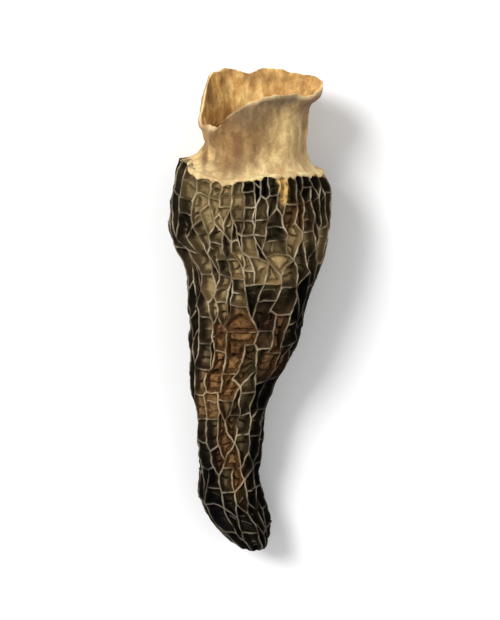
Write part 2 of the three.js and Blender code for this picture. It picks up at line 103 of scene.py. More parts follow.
# the pits of the upper side, each a chain of cells: mm along the cap and degrees round it, cell by cell
upperPits = (
    (2.7, 156), (8, 158), (12, 163), (14.4, 172), (16.6, 164), (0.1, 139, 2.3, 138, 4.5, 139, 6.4, 140),
    (9.3, 139, 13, 143), (0.4, 124, 2.6, 123), (4.8, 124, 6.9, 126), (1, 114, 3.3, 114),
    (2.1, 108, 4.4, 108), (5.7, 114, 6.8, 108), (10.2, 124, 12, 123), (8.6, 110), (11.3, 113), (7.9, 119),
    (10, 102), (14, 132, 16.5, 142), (18.2, 144), (20.6, 150), (24.2, 154), (27.9, 150), (32, 146),
    (2.6, 96, 4.8, 96, 7, 95), (2, 93), (7, 90), (3.7, 92), (3.1, 85), (5.8, 82), (7.5, 85), (9.9, 83),
    (12, 83), (0.3, 83), (9.7, 90), (13, 90), (16, 94), (13.5, 84), (16.6, 87), (9.2, 94), (10.9, 98),
    (12, 96), (2.1, 77), (1.9, 72), (6, 74), (8.6, 72), (10.4, 72), (1.2, 64, 3.9, 66), (3.1, 58),
    (8.1, 58, 12.3, 55), (1.5, 48, 3.8, 51, 6, 49), (0.9, 40), (4.3, 42, 7.6, 38), (2.4, 29),
    (5.4, 33, 7.3, 29), (6.4, 24, 8.7, 18), (1.8, 11), (12.6, 16), (11.4, 34), (13.5, 36), (16.4, 7),
    (11.7, 4), (7.2, 9), (16.1, 51), (19.3, 56), (22.4, 54), (22, 36), (18.1, 32), (26.3, 44), (30.1, 41),
    (28.1, 18), (13.6, 73, 16, 72), (18.4, 74), (21.6, 74), (25.3, 72, 27.5, 70), (31, 72),
    (33.9, 70, 36.3, 64), (35.6, 82), (39, 70), (29.7, 55), (33.4, 44), (36.7, 38), (13.7, 114, 15.7, 118),
    (17.5, 123), (22, 129), (25.3, 134), (13.1, 106), (17.4, 113), (20.3, 115, 22.4, 115), (25.1, 116),
    (22.9, 108), (25, 126), (28.5, 119, 31, 120), (28.4, 134), (13.5, 99, 15.1, 99), (17.2, 103),
    (20.9, 100), (19.2, 94), (22.8, 100), (22.2, 92), (25.4, 98, 27.9, 98), (30.4, 97, 33, 99, 36, 101),
    (38.7, 101, 41, 98), (34.9, 136), (38.8, 136), (38.4, 154), (33.5, 123), (35.8, 118, 38.8, 118),
    (43.1, 122), (45.1, 144), (44.2, 98), (43.7, 81), (43.3, 71), (43.7, 50), (41.3, 38), (48.1, 142),
    (48.9, 126), (47.9, 105, 51.6, 98), (47.5, 84), (47.6, 69), (48.1, 44), (51.9, 68), (52.4, 44),
    (54.4, 137), (55.4, 108), (58.9, 115), (59.5, 144), (54.7, 80, 57.7, 77), (56.2, 50), (59.5, 45),
    (61.8, 115), (62.2, 154), (59.3, 94), (63.2, 90), (62.3, 66), (63.1, 42), (65.9, 156), (66.3, 119),
    (66.5, 76), (66.3, 52), (69.7, 132), (67.9, 97), (71.4, 122), (71, 90), (70.2, 63), (69.4, 26),
    (65.9, 36), (20.5, 10), (24.4, 13), (32.3, 14), (36.5, 10), (40.8, 9), (45.4, 12), (50, 14), (54.3, 10),
    (58.8, 12), (63, 9), (67.4, 6), (71.2, 2),
)


class Dice:
    def __init__(self, seed):
        self.seed = seed

    def between(self, low, high):
        self.seed = (self.seed * 1664525 + 1013904223) % 4294967296
        return low + (high - low) * self.seed / 4294967296


def wrapAngle(angle):
    return angle - turn * np.round(angle / turn)


def mix(a, b, t):
    return a + (b - a) * t


# a curve's way from a to b, with the values before and after them
def cubic(before, a, b, after, t):
    slope, nextSlope = 0.5 * (b - before), 0.5 * (after - a)
    bend = (2 * (a - b) + slope + nextSlope) * t + 3 * (b - a) - 2 * slope - nextSlope
    return bend * t * t + slope * t + a


# a smooth curve through rows, at places 0 to 1 along them
def curveThrough(rows, share):
    rows = np.asarray(rows, float)
    first, last = 2 * rows[0] - rows[1], 2 * rows[-1] - rows[-2]
    padded = np.vstack([first, rows, last])
    place = np.clip(np.asarray(share, float), 0, 1) * (len(rows) - 1)
    i = np.minimum(place.astype(int), len(rows) - 2)
    return cubic(*(padded[i + k] for k in range(4)), (place - i)[..., None])


# a smooth value at an angle, from values spaced evenly round a circle
def curveAround(values, angle):
    values = np.asarray(values, float)
    count = len(values)
    place = (np.asarray(angle, float) / turn) % 1 * count
    i = np.floor(place).astype(int)
    return cubic(*(values[(i + k) % count] for k in (-1, 0, 1, 2)), place - i)


# points of the cap's cross sections, sunk in towards the axis
def sectionPoints(angle, share, inset, shift=0.0):
    angle, share = np.asarray(angle, float), np.asarray(share, float)
    row = curveThrough(capForm["stations"], share)
    along, side, rise, halfWidth, halfDepth = np.moveaxis(row, -1, 0)
    lump = 1 + 0.022 * np.cos(3 * angle + 0.11 * along) + 0.014 * np.cos(5 * angle - 0.19 * along + 1)
    drawnBack = curveAround(capForm["rimWave"], angle) * np.exp(-along / capForm["rimFade"])
    x = side + np.maximum(halfWidth * lump - inset, 0) * np.cos(angle)
    z = rise + np.maximum(halfDepth * lump - inset, 0) * np.sin(angle)
    return np.stack([x, -(along + drawnBack + shift), z], -1)


# points on the cap, sunk square to its surface
def capPoints(angle, share, depth):
    step = 1e-3
    sideways = sectionPoints(angle + step, share, 0) - sectionPoints(angle - step, share, 0)
    down = sectionPoints(angle, share + step, 0) - sectionPoints(angle, share - step, 0)
    normal = np.cross(sideways, down)
    normal /= np.linalg.norm(normal, axis=-1, keepdims=True)
    return sectionPoints(angle, share, 0) - normal * np.asarray(depth)[..., None]


# the surface rolled out flat: the distance run, in radii, at each share of the way
rollEnd = 0.985
rollShares = np.linspace(0, rollEnd, 601)
rollRows = curveThrough(capForm["stations"], rollShares)
rollRadius = (rollRows[:, 3] + rollRows[:, 4]) / 2
rollRun = np.hypot(np.diff(rollRows[:, 0]), np.diff(rollRadius))
rolled = np.concatenate([[0], np.cumsum(rollRun / ((rollRadius[1:] + rollRadius[:-1]) / 2))])
netEnd = rolled[-1] * net["stretch"]


def shareOf(roll):
    return np.interp(roll, rolled, rollShares)


def radiusOf(roll):
    return np.interp(roll, rolled, rollRadius)


def alongOf(roll):
    return np.interp(roll, rolled, rollRows[:, 0])


def rollAt(along):
    return rolled[min(max(np.searchsorted(rollRows[:, 0], along), 1), len(rolled) - 1)]


# the middles of the pits, and the chain each belongs to
def pitMiddles(dice):
    middles, chains = [], []
    for chain, row in enumerate(upperPits):
        for along, angle in zip(row[::2], row[1::2]):
            middles.append((math.radians(angle), rollAt(along) * net["stretch"]))
            chains.append(chain)
    first, last = net["underside"]
    for column in range(net["columns"]):
        place = math.radians(mix(first, last, (column + 0.5) / net["columns"])) + dice.between(*net["lean"])
        end = dice.between(*net["shortColumn"]) if column % 2 else net["longColumns"][column // 2 % 2]
        along = dice.between(*net["firstPit"])
        while along < end:
            share = along / capForm["stations"][-1][0]
            stray = dice.between(-1, 1) * mix(net["strayAtRim"], net["strayAtTip"], share)
            middles.append((place + stray, rollAt(along) * net["stretch"]))
            chains.append(-len(chains))
            cellLength = mix(net["cellLengthAtRim"], net["cellLengthAtTip"], math.sqrt(share))
            along += cellLength * dice.between(*net["cellSpread"])
    return middles, chains


# what is left of a polygon on the near side of the line halfway to another middle
def cutPolygon(polygon, dx, dy):
    half = (dx * dx + dy * dy) / 2
    kept = []
    for i, point in enumerate(polygon):
        after = polygon[(i + 1) % len(polygon)]
        a = point[0] * dx + point[1] * dy - half
        b = after[0] * dx + after[1] * dy - half
        if a <= 0:
            kept.append(point)
        if a * b < 0:
            t = a / (a - b)
            kept.append((mix(point[0], after[0], t), mix(point[1], after[1], t)))
    return kept


# each pit's outline round its middle
def pitOutlines(middles):
    reach = turn / 5
    outlines = []
    for angle, roll in middles:
        polygon = [(-reach, -roll), (reach, -roll), (reach, netEnd - roll), (-reach, netEnd - roll)]
        for otherAngle, otherRoll in middles:
            dx, dy = wrapAngle(otherAngle - angle), otherRoll - roll
            if dx or dy:
                polygon = cutPolygon(polygon, dx, dy)
        outlines.append([(angle + x, roll + y) for x, y in polygon])
    return outlines


# mm between two points of the net
def netDistance(a, b):
    dx = wrapAngle(a[0] - b[0])
    return math.hypot(dx, (a[1] - b[1]) / net["stretch"]) * radiusAt((a[1] + b[1]) / 2)


def radiusAt(y):
    row = curveThrough(capForm["stations"], shareOf(y / net["stretch"]))
    return (row[3] + row[4]) / 2


# the sides of a face: both ends, and the edge that a neighbour shares
def sidesOf(face):
    return [(a, b, (min(a, b), max(a, b))) for a, b in zip(face, face[1:] + face[:1])]


# outlines that share their corners, with corners that lie close together made one
def joinCorners(outlines, chains):
    corners, faces = [], []
    known = np.zeros((0, 2))
    for outline in outlines:
        face = []
        for point in outline:
            gap = np.abs(wrapAngle(known[:, 0] - point[0])) + np.abs(known[:, 1] - point[1])
            same = np.flatnonzero(gap < 1e-5)
            if len(same):
                face.append(int(same[0]))
            else:
                face.append(len(corners))
                corners.append(list(point))
                known = np.vstack([known, point])
        faces.append(face)
    owner = list(range(len(corners)))

    def find(i):
        while owner[i] != i:
            i = owner[i]
        return i

    onEdge = lambda i: corners[i][1] < tiny or corners[i][1] > netEnd - tiny
    for face in faces:
        for a, b, _ in sidesOf(face):
            p, q = find(a), find(b)
            if p == q or netDistance(corners[p], corners[q]) > net["shortestEdge"] or onEdge(p) != onEdge(q):
                continue
            corners[p][0] += wrapAngle(corners[q][0] - corners[p][0]) / 2
            corners[p][1] = (corners[p][1] + corners[q][1]) / 2
            owner[q] = p
    joined, owners = [], []
    for face, chain in zip(faces, chains):
        found = [find(i) for i in face]
        loop = [c for k, c in enumerate(found) if c != found[k - 1]]
        if len(loop) > 2:
            joined.append(loop)
            owners.append(chain)
    return corners, joined, owners


# turns the edges towards lengthwise and crosswise, as the ridges of a morel run
def squareUp(corners, faces, chains):
    fixed = [roll < tiny or roll > netEnd - tiny for _, roll in corners]
    sides = sorted({(a, b) for face in faces for _, _, (a, b) in sidesOf(face)})
    for _ in range(net["squareRounds"]):
        moves = [[0.0, 0.0, 0.0, 0.0, math.inf] for _ in corners]
        for a, b in sides:
            dx = wrapAngle(corners[b][0] - corners[a][0])
            dy = (corners[b][1] - corners[a][1]) / net["stretch"]
            length = math.hypot(dx, dy)
            lengthwise = abs(dy) > abs(dx) * net["squareLean"]
            for move, way in ((moves[a], 1), (moves[b], -1)):
                move[0 if lengthwise else 2] += length * way * (dx if lengthwise else dy)
                move[1 if lengthwise else 3] += length
                move[4] = min(move[4], length)
        for i, (sumX, weightX, sumY, weightY, shortest) in enumerate(moves):
            if shortest == math.inf:
                continue
            x = net["squarePull"] * sumX / weightX if weightX else 0
            y = net["squarePull"] * sumY / weightY if weightY and not fixed[i] else 0
            limit = 0.25 * shortest / max(math.hypot(x, y), 1e-9)
            corners[i][0] += x * min(limit, 1)
            corners[i][1] += y * min(limit, 1) * net["stretch"]
    return corners, faces, chains


# gives every point its depth, and each long edge a bent middle; edges inside a chain become low rungs
def crestLines(dice, corners, faces, chains):
    points = [(x, y, dice.between(*net["cornerDip"])) for x, y in corners]
    sides = {}
    for face, chain in zip(faces, chains):
        for _, _, side in sidesOf(face):
            sides.setdefault(side, []).append(chain)
    middles, loops, rungs = {}, [], set()
    for face in faces:
        loop = []
        for a, b, side in sidesOf(face):
            p, q = points[a], points[b]
            length = netDistance(p, q)
            onRim = p[1] < tiny and q[1] < tiny
            isRung = len(sides[side]) == 2 and sides[side][0] == sides[side][1]
            loop.append(a)
            if length < net["splitEdge"] and not onRim and not isRung:
                continue
            if side not in middles:
                dx = wrapAngle(q[0] - p[0])
                radius = radiusAt(p[1])
                across = abs(dx) * radius > length / 2
                off = 0 if onRim else dice.between(*net["bow"]) / radius
                dip = net["rungDip"] if isRung else net["acrossDip"] if across else net["alongDip"]
                middles[side] = len(points)
                if isRung:
                    rungs.add(len(points))
                points.append((
                    p[0] + dx / 2 + (0 if across else off),
                    (p[1] + q[1]) / 2 + (off * net["stretch"] if across else 0),
                    net["openPit"] if onRim else dice.between(*dip),
                ))
            loop.append(middles[side])
        loops.append(loop)
    return points, loops, len(corners), rungs


# how the fine cap is worked out of the net, in mm
capLook = {
    "segment": 0.46,  # length of a crest's pieces
    "wander": ((0.34, 3.4), (0.24, 1.3)),  # how far crests stray, and over what length
    "crestWave": ((0.26, 2.6), (0.12, 0.9)),  # how far their tops rise and dip
    "paleWave": ((0.55, 2.6), (0.45, 0.9)),  # how their paleness comes and goes
    # steps from a crest down to the foot of its wall: run, share of the pit's depth, paleness, floor (the
    # lower, the more painted shade)
    "wall": ((0.12, 0.03, 0.8, 0), (0.12, 0.14, 0.25, 0), (0.14, 0.55, 0, 0.1), (0.24, 0.9, 0, 0.5)),
    "pitSpread": (0.86, 1.18),  # share of the CAD's depth that a pit may have
    "rungSpacing": 1.55,
    "rungTilt": 0.4,
    "rungBow": 0.2,
    "rungHeight": (0.3, 0.9),
    "creased": (0.2, 0.95),  # share of the pits with creases in place of rungs, least and most stained
    "creaseDepth": (0.4, 0.8),
    "creaseLift": (0.3, 0.8),  # how far the floor swells between creases
    "evenPits": 0.55,  # how far a pit takes one colour all over
    "floorSteps": ((0.24, 0.62), (0.3, 0.95)),
    "floorSpread": 0.22,
    "grain": ((0.07, 1.3), (0.035, 0.5)),  # crumpling of the whole skin
}


# zones of colour and of painted shade on the upper side, in mm: x, y, half width, half length, strength
stainsAndShade = {
    "warm": (
        (-2, -1.5, 4.2, 5.5, 1), (-4.6, -9.5, 4, 5, 1), (-7.2, -15, 2.4, 3.5, 0.9),
        (-4.8, -22.5, 2, 5.5, 0.9), (-2.4, -29, 1.6, 5, 1), (4.4, 1.5, 2.6, 5, 0.8),
        (4.4, -6.5, 2.4, 3.5, 0.9), (7.7, 21, 2.6, 3, 0.8),
    ),
    "tan": (
        (-7, 22.5, 4.5, 6, 0.4), (-9, 14, 3.5, 4.5, 0.3), (0, 18, 3, 5, 0.3), (8.2, 16.5, 2.6, 3, 0.9),
        (4.2, 11, 2.8, 3.6, 1), (-5.8, 6.2, 2.8, 3.6, 0.6), (-1, 12.5, 2.2, 4, 0.8),
        (-1.8, 4.4, 1.8, 2.2, 0.5), (13, 12, 1.6, 8, 0.5), (-2.5, -0.5, 2.2, 2.5, 0.45),
        (-4.2, -10.2, 3, 3.6, 0.9), (-7.4, -14.6, 1.5, 3, 1), (-2.4, -29, 1, 4, 0.8),
    ),
    "cream": ((5.8, 27.6, 1.1, 1.2, 1), (5.9, 25.4, 0.8, 1.2, 1), (5.8, 23.6, 0.8, 0.8, 0.9)),
    "soft": ((-6.5, 23.5, 5.5, 5, 1), (-6, 13, 4, 5, 0.4)),
    # painted shade on the shaded side, the tip and underneath, over the cap's own darker skin
    "shadeAndDark": (
        (8.6, 26, 3.4, 3, 0.3), (12.5, 2, 5, 8, 1), (10, -6, 4.4, 8, 1), (5, -15, 4.4, 8, 1),
        (2.8, -26, 3.6, 8, 1), (0, -40, 8.5, 7, 0.85), (-8, -27, 3, 6.5, 0.9), (-7, -36, 4, 5, 1),
        (-13.4, 18, 2.4, 10, 0.6), (-10.8, 19.6, 1.8, 2.6, 0.5), (-12.5, 2, 3, 6, 0.6),
        (2.8, 1.2, 2, 2.6, 0.85), (0.2, 5, 1.6, 1.6, 0.6), (-11.5, -5, 2.4, 12, 0.75),
        (3.9, 5.2, 2.3, 1.5, 0.9), (6.6, -2, 2, 3, 0.8), (1.5, 26.5, 2.4, 2.6, 0.7),
        (-1, -1.5, 3.5, 4.5, 0.25),
    ),
    # painted shade on the crests of the shaded side, the finger and the tip
    "ridgeShade": (
        (12.5, 2, 3.6, 7, 0.7), (10.4, -6, 3.4, 8, 1), (5.2, -16, 3.6, 8, 1), (2.8, -27, 2.6, 7, 1),
        (4, -37, 3, 6, 0.7),
    ),
}


# how the zones' edges run
stainAndShadeLook = {
    "stray": ((1.6, 5), (0.8, 1.9)),
    "byChance": ((1.5, 9), (0.5, 3)),  # underneath, where noise sets them
    "upperFrom": 8,  # height where the upper side begins, in mm
    "tipFrom": -20,  # y where the painted shade of the tip begins
}


# how strongly each zone of colour and of painted shade shows at points in mm
def stainsAndShadeAt(points):
    stray = np.stack([wavy(points, stainAndShadeLook["stray"], 20 + k) for k in range(2)], -1)
    upper = 1 / (1 + np.exp(-(points[:, 2] - stainAndShadeLook["upperFrom"]) / 1.2))
    tipwards = np.clip((stainAndShadeLook["tipFrom"] - points[:, 1]) / 8, 0, 1)
    shown = {}
    for k, (name, spots) in enumerate(stainsAndShade.items()):
        total = np.zeros(len(points))
        for x, y, halfWidth, halfLength, strength in spots:
            away = (points[:, :2] + stray * min(halfWidth / 4, 1) - (x, y)) / (halfWidth, halfLength)
            inside = np.clip((1.35 - np.hypot(*away.T)) / 0.7, 0, 1)
            total = np.maximum(total, strength * inside**2 * (3 - 2 * inside))
        hidden = 0
        if name not in ("cream", "soft"):
            byChance = np.clip(wavy(points, stainAndShadeLook["byChance"], 25 + k) + 0.1, 0, 1)
            hidden = mix(byChance, 1 if name == "shadeAndDark" else 0, tipwards)
        shown[name] = mix(hidden, total, upper)
    return shown


# noise in mm at points in mm
def wavy(points, layers, seed):
    offset = Vector((seed * 17.3, seed * -9.1, seed * 5.7))
    total = np.zeros(len(points))
    for size, length in layers:
        total += [size * noise.noise(Vector(p) / length + offset) for p in points]
    return total


def flatCoords(verts):
    return np.array([v.co[:2] for v in verts])


# where points of the flat net come to lie on the cap
def skinPoints(flat, depth):
    return capPoints(flat[:, 0], shareOf(flat[:, 1]), depth)


# insets faces and moves their new loops towards their middles, evenly all round
def drawIn(bm, faces, run, limit=0.45, reach=3):
    bmesh.ops.inset_individual(bm, faces=faces, thickness=0.0, depth=0.0)
    for face in faces:
        ring = flatCoords(face.verts)
        centre = ring.mean(0)
        size = radiusOf(centre[1])
        arm = (ring - centre) * size
        ahead = np.roll(arm, -reach, 0) - np.roll(arm, reach, 0)
        span = np.maximum(np.hypot(*ahead.T), tiny)
        clear = np.abs(arm[:, 0] * ahead[:, 1] - arm[:, 1] * ahead[:, 0]) / span
        clear = np.maximum(clear, 0.4 * np.hypot(*arm.T))
        pull = limit * np.tanh(run / np.maximum(clear, tiny) / limit)
        for _ in range(2):
            pull = (np.roll(pull, 1) + 2 * pull + np.roll(pull, -1)) / 4
        for v, p in zip(face.verts, centre + (ring - centre) * (1 - pull)[:, None]):
            v.co.xy = p


def newLayers(bm, *names):
    return [bm.verts.layers.float.new(name) for name in names]


def read(verts, layer):
    return np.array([v[layer] for v in verts])


def fill(verts, layer, values):
    for v, value in zip(verts, values):
        v[layer] = value


# the next ring of edges and points, drawn out of a ring of edges
def drawOut(bm, edges):
    geom = bmesh.ops.extrude_edge_only(bm, edges=edges)["geom"]
    return [[g for g in geom if isinstance(g, kind)] for kind in (bmesh.types.BMEdge, bmesh.types.BMVert)]


rimCrests = []  # where ridges meet the rim, in radians round it


# how far the stem's skirt lies under the ridges at an angle, in mm
def bareAt(angle):
    middle, half, deepest = stemForm["bare"]
    return deepest * np.exp(-((wrapAngle(angle - middle) / half) ** 2))


def makeCap():
    dice = Dice(net["seed"])
    middles, chains = pitMiddles(dice)
    joined = squareUp(*joinCorners(pitOutlines(middles), chains))
    points, loops, cornerCount, rungs = crestLines(dice, *joined)
    print("cap net:", len(loops), "pits")
    bm = bmesh.new()
    ridge, floor, tone, along = newLayers(bm, "ridge", "floor", "tone", "along")
    passing = ("depth", "crest", "high", "weak", "pit", "inner", "rimFace", "share", "shift")
    depth, crest, high, weak, pit, inner, rimFace, share, shift = newLayers(bm, *passing)
    zones = dict(zip(stainsAndShade, newLayers(bm, *stainsAndShade)))

    # one face for each pit, laid out flat: x is the angle, y the distance run, both in radii
    verts, corners = {}, set()
    spotOf = lambda v: (round(v.co.x, 5), round(v.co.y, 5))
    for loop in loops:
        start = points[loop[0]][0]
        face = []
        for i in loop:
            x, y, dip = points[i]
            turns = -round((x - start) / turn)
            key = (i, turns)
            if key not in verts:
                v = bm.verts.new((x + turns * turn, y / net["stretch"], 0))
                v[depth], v[weak] = dip, i in rungs
                verts[key] = v
                if i < cornerCount:
                    corners.add(spotOf(v))
            face.append(verts[key])
        bm.faces.new(face)
    pits = list(bm.faces)

    # fine segments along the crests, with the kinks rounded
    byCuts = {}
    for e in bm.edges:
        a, b = (v.co for v in e.verts)
        length = (a - b).length * radiusOf((a.y + b.y) / 2)
        byCuts.setdefault(max(round(length / capLook["segment"]) - 1, 0), []).append(e)
    for cuts, edges in byCuts.items():
        if cuts:
            bmesh.ops.bisect_edges(bm, edges=edges, cuts=cuts, edge_percents={})
    netTop = rolled[-1]
    free = [v for v in bm.verts if spotOf(v) not in corners and tiny < v.co.y < netTop - tiny]
    for _ in range(3):
        bmesh.ops.smooth_vert(bm, verts=free, factor=0.5, use_axis_x=True, use_axis_y=True)

    rimCorners = [v for v in bm.verts if v.co.y < tiny and spotOf(v) in corners]

    # crests stray and rise and dip; the noise is read in space, so it closes round the cap
    every = list(bm.verts)
    flat = flatCoords(every)
    place = skinPoints(flat, np.zeros(len(flat)))
    radius = radiusOf(flat[:, 1])
    strayX = wavy(place, capLook["wander"], 1) / radius
    strayY = wavy(place, capLook["wander"], 2) / radius
    lift = wavy(place, capLook["crestWave"], 3)
    fading = np.clip(0.9 + wavy(place, capLook["paleWave"], 6), 0.3, 1.1)
    here = stainsAndShadeAt(place + cadShift)
    for v, dx, dy, up, fade, warm in zip(every, strayX, strayY, lift, fading, here["warm"]):
        onEdge = v.co.y < tiny or v.co.y > netTop - tiny
        v.co.x += dx
        if not onEdge:
            v.co.y = min(max(v.co.y + dy, 0.002), netTop - 0.002)
        low = min(v[weak] * 2.2, 1.0)
        ways = [e.verts[0].co - e.verts[1].co for e in v.link_edges]
        reach, rise = (sum(abs(way[k]) for way in ways) for k in range(2))
        lengthwise = rise / (rise + reach + 1e-9)
        v[ridge] = fade * (1 - 0.35 * low - 0.15 * min(max((v[depth] - 0.3) / 0.7, 0), 1))
        v[ridge] *= mix(0.68, 1.0, lengthwise) * (1 - 0.85 * low * warm)
        v[depth] = max(v[depth] * (1 + 0.5 * low) + up + 0.5 * low * warm, 0.0)
        v[crest] = v[depth]
        v[high] = v[ridge]

    rimCrests.extend(v.co.x for v in rimCorners)

    # walls down to the floor of each pit, less deep where the cap is soft and deeper under the painted shade
    # and dark skin
    centres = np.array([flatCoords(face.verts).mean(0) for face in pits])
    shares = shareOf(centres[:, 1])
    shown = stainsAndShadeAt(skinPoints(centres, np.zeros(len(pits))) + cadShift)
    stained = np.maximum(shown["warm"], shown["tan"])
    factor = 1 - 0.5 * shown["soft"] - 0.65 * shown["cream"] - 0.35 * stained + 0.12 * shown["shadeAndDark"]
    cadDeep = mix(capForm["pitAtRim"], capForm["pitAtTip"], shares)
    deepOf = {f: deep * dice.between(*capLook["pitSpread"]) for f, deep in zip(pits, factor * cadDeep)}
    tones = np.array([0.5] + [dice.between(0, 1) for _ in pits])
    number = {face: k + 1 for k, face in enumerate(pits)}
    for run, part, pale, bed in capLook["wall"]:
        drawIn(bm, pits, run)
        for face in pits:
            for v in face.verts:
                v[depth] = mix(v[crest], deepOf[face], part)
                v[ridge] = pale * v[high]
                v[floor] = bed
                v[pit] = number[face]
    print("cap walls:", len(bm.faces), "faces")

    # rungs across the floors
    floors = []
    for face, stain in zip(pits, stained):
        floors += cutRungs(face, deepOf[face], stain, dice, (depth, ridge, floor, pit))
    for f, deep in floors:
        for v in f.verts:
            v[crest] = v[depth]
    faces = [f for f, _ in floors]
    for run, part in capLook["floorSteps"]:
        drawIn(bm, faces, run, 0.4, 2)
        for f, deep in floors:
            for v in f.verts:
                v[depth] = mix(v[crest], deep, part)
                v[ridge] = v[ridge] * 0.3
                v[floor] = 0.5 + 0.5 * part
    for f, deep in floors:
        middle = bmesh.ops.poke(bm, faces=[f])["verts"][0]
        middle[depth] = deep
        middle[ridge] = 0
        middle[floor] = 1
        middle[pit] = middle.link_edges[0].other_vert(middle)[pit]
    print("cap floors:", len(floors), "of them,", len(bm.faces), "faces")

    # the rim, the seat of the stem's collar and the hollow, as rings drawn out of the rim's edge
    edges = [e for e in bm.edges if e.is_boundary and all(v.co.y < tiny for v in e.verts)]
    seat = capForm["rimDepth"]
    collar = capForm["collarDepth"]
    # share of the way, depth, mm back from the rim, and how far each sinks and swells where the rim is bare
    rings = [(0, seat * 0.35, 0, 0.75, 0.1), (0, seat, 0, 1, 0.06), (0, seat, collar, 1, 0)]
    for i in range(capForm["hollowRings"] + 1):
        at = capForm["hollowEnd"] * i / capForm["hollowRings"]
        wall = mix(capForm["pitAtRim"], capForm["pitAtTip"], at) + capForm["flesh"]
        rings.append((at, wall, 0, 0, 0) if i else (at, wall, collar, 1, 0))
    for ring, (at, inset, back, sinks, swells) in enumerate(rings):
        edges, ringVerts = drawOut(bm, edges)
        for v in ringVerts:
            dip = bareAt(v.co.x)
            v[inner], v[share], v[depth], v[shift] = 1, at, inset + sinks * dip, back - swells * dip
            v[ridge], v[floor] = (0.5, 1) if ring == 0 else (0, 0.5)
            v[rimFace] = ring < 2

    # roll the flat net up into the cap
    every = list(bm.verts)
    flat = flatCoords(every)
    sunk = read(every, depth)
    swellFrom, swellTo, swell = capForm["swell"]
    sunk = sunk - swell * np.clip((alongOf(flat[:, 1]) - swellFrom) / (swellTo - swellFrom), 0, 1)
    sunk = sunk + 0.4 * bareAt(flat[:, 0]) * np.exp(-alongOf(flat[:, 1]) / 0.8)
    isInner = read(every, inner) > 0.5
    outside = skinPoints(flat, sunk)
    within = sectionPoints(flat[:, 0], read(every, share), sunk, read(every, shift))
    place = np.where(isInner[:, None], within, outside)
    inward = skinPoints(flat, sunk + 1) - outside
    place = place + inward * wavy(place, capLook["grain"], 4)[:, None] + cadShift
    place[:, 2] = np.maximum(place[:, 2], 0)
    for v, p in zip(every, place):
        v.co = p * mm
    isRim = read(every, rimFace) > 0.5
    fill(every, along, np.where(isInner & ~isRim, 100, alongOf(flat[:, 1])))
    pitOf = read(every, pit).round().astype(int)
    fill(every, tone, tones[pitOf])
    for name, values in stainsAndShadeAt(place).items():
        own = values if name == "cream" else np.append(0, shown[name])[pitOf]
        fill(every, zones[name], np.where(pitOf > 0, mix(values, own, capLook["evenPits"]), values))
    bmesh.ops.remove_doubles(bm, verts=bm.verts, dist=2e-6)
    loose = [e for e in bm.edges if e.is_boundary]
    bmesh.ops.poke(bm, faces=bmesh.ops.holes_fill(bm, edges=loose, sides=0)["faces"])
    bmesh.ops.triangulate(bm, faces=[f for f in bm.faces if len(f.verts) > 4])
    bmesh.ops.recalc_face_normals(bm, faces=bm.faces)
    for name in passing:
        bm.verts.layers.float.remove(bm.verts.layers.float[name])
    return finished(bm, "capFlesh")


# splits a floor across its length, and makes each line a low rung or a crease between swellings
def cutRungs(face, deep, stain, dice, layers):
    depth, ridge, floor, pit = layers
    ring = list(face.verts)
    flat = flatCoords(ring)
    centre = flat.mean(0)
    size = radiusOf(centre[1])
    arm = (flat - centre) * size
    wide, long = np.ptp(arm, axis=0)
    lengthwise = int(long > wide * (0.75 if stain < 0.4 else 0.35))
    run = arm[:, lengthwise] - (arm[:, lengthwise].max() + arm[:, lengthwise].min()) / 2
    aside = arm[:, 1 - lengthwise]
    reach = np.ptp(run)
    creased = dice.between(0, 1) < mix(*capLook["creased"], stain)
    count = int(reach / capLook["rungSpacing"] + dice.between(-0.1, 0.7))
    parts, known = [face], set(ring)
    for k in range(1, count):
        at = (k / count - 0.5 + dice.between(-0.12, 0.12) / count) * reach
        tilt = dice.between(-1, 1) * capLook["rungTilt"]
        bow = dice.between(-1, 1) * capLook["rungBow"]
        height = -dice.between(*capLook["creaseDepth"]) if creased else dice.between(*capLook["rungHeight"])
        a = ring[int(np.argmin(np.abs(run - at - tilt) + 99 * (aside < 0)))]
        b = ring[int(np.argmin(np.abs(run - at + tilt) + 99 * (aside > 0)))]
        gap = (a.co - b.co).length * size
        part = next((f for f in parts if {a, b} <= set(f.verts)), None)
        if part is None or gap < 0.8 * capLook["segment"]:
            continue
        steps = max(round(gap / capLook["segment"]), 2)
        bend = [0.0, 0.0, 0.0]
        between = []
        for m in range(1, steps):
            bend[lengthwise] = (bow * (1 - (2 * m / steps - 1) ** 2) + dice.between(-0.06, 0.06)) / size
            between.append(a.co.lerp(b.co, m / steps) + Vector(bend))
        fresh = bmesh.utils.face_split(part, a, b, coords=between)[0]
        if not fresh:
            continue
        parts.append(fresh)
        top = 0.95 * min(max(height, 0), 0.8)
        for v in (a, b):
            v[depth] = min(v[depth], deep - height) if height > 0 else max(v[depth], deep - 0.7 * height)
            v[ridge] = max(v[ridge], top)
            # a floor below 0 marks a crease, which the cap's material paints with shade
            v[floor] = v[floor] if height > 0 else -1
        for v in fresh.verts:
            if v not in known:
                known.add(v)
                v[depth] = deep - height * dice.between(0.75, 1.0)
                v[ridge] = top
                v[floor] = 1 if height > 0 else -1
                v[pit] = a[pit]
    spread = capLook["floorSpread"]
    lift = mix(*capLook["creaseLift"], stain) if creased else 0
    return [(f, deep - lift + dice.between(-spread, spread)) for f in parts]


def newObject(name, data):
    obj = bpy.data.objects.new(name, data)
    bpy.context.scene.collection.objects.link(obj)
    return obj


# turns a bmesh into an object of its own
def finished(bm, name):
    triangles = sum(len(f.verts) - 2 for f in bm.faces)
    print(name + ":", triangles, "triangles,", sum(not e.is_manifold for e in bm.edges), "open edges")
    mesh = bpy.data.meshes.new(name)
    bm.to_mesh(mesh)
    bm.free()
    mesh.shade_smooth()
    return newObject(name, mesh)


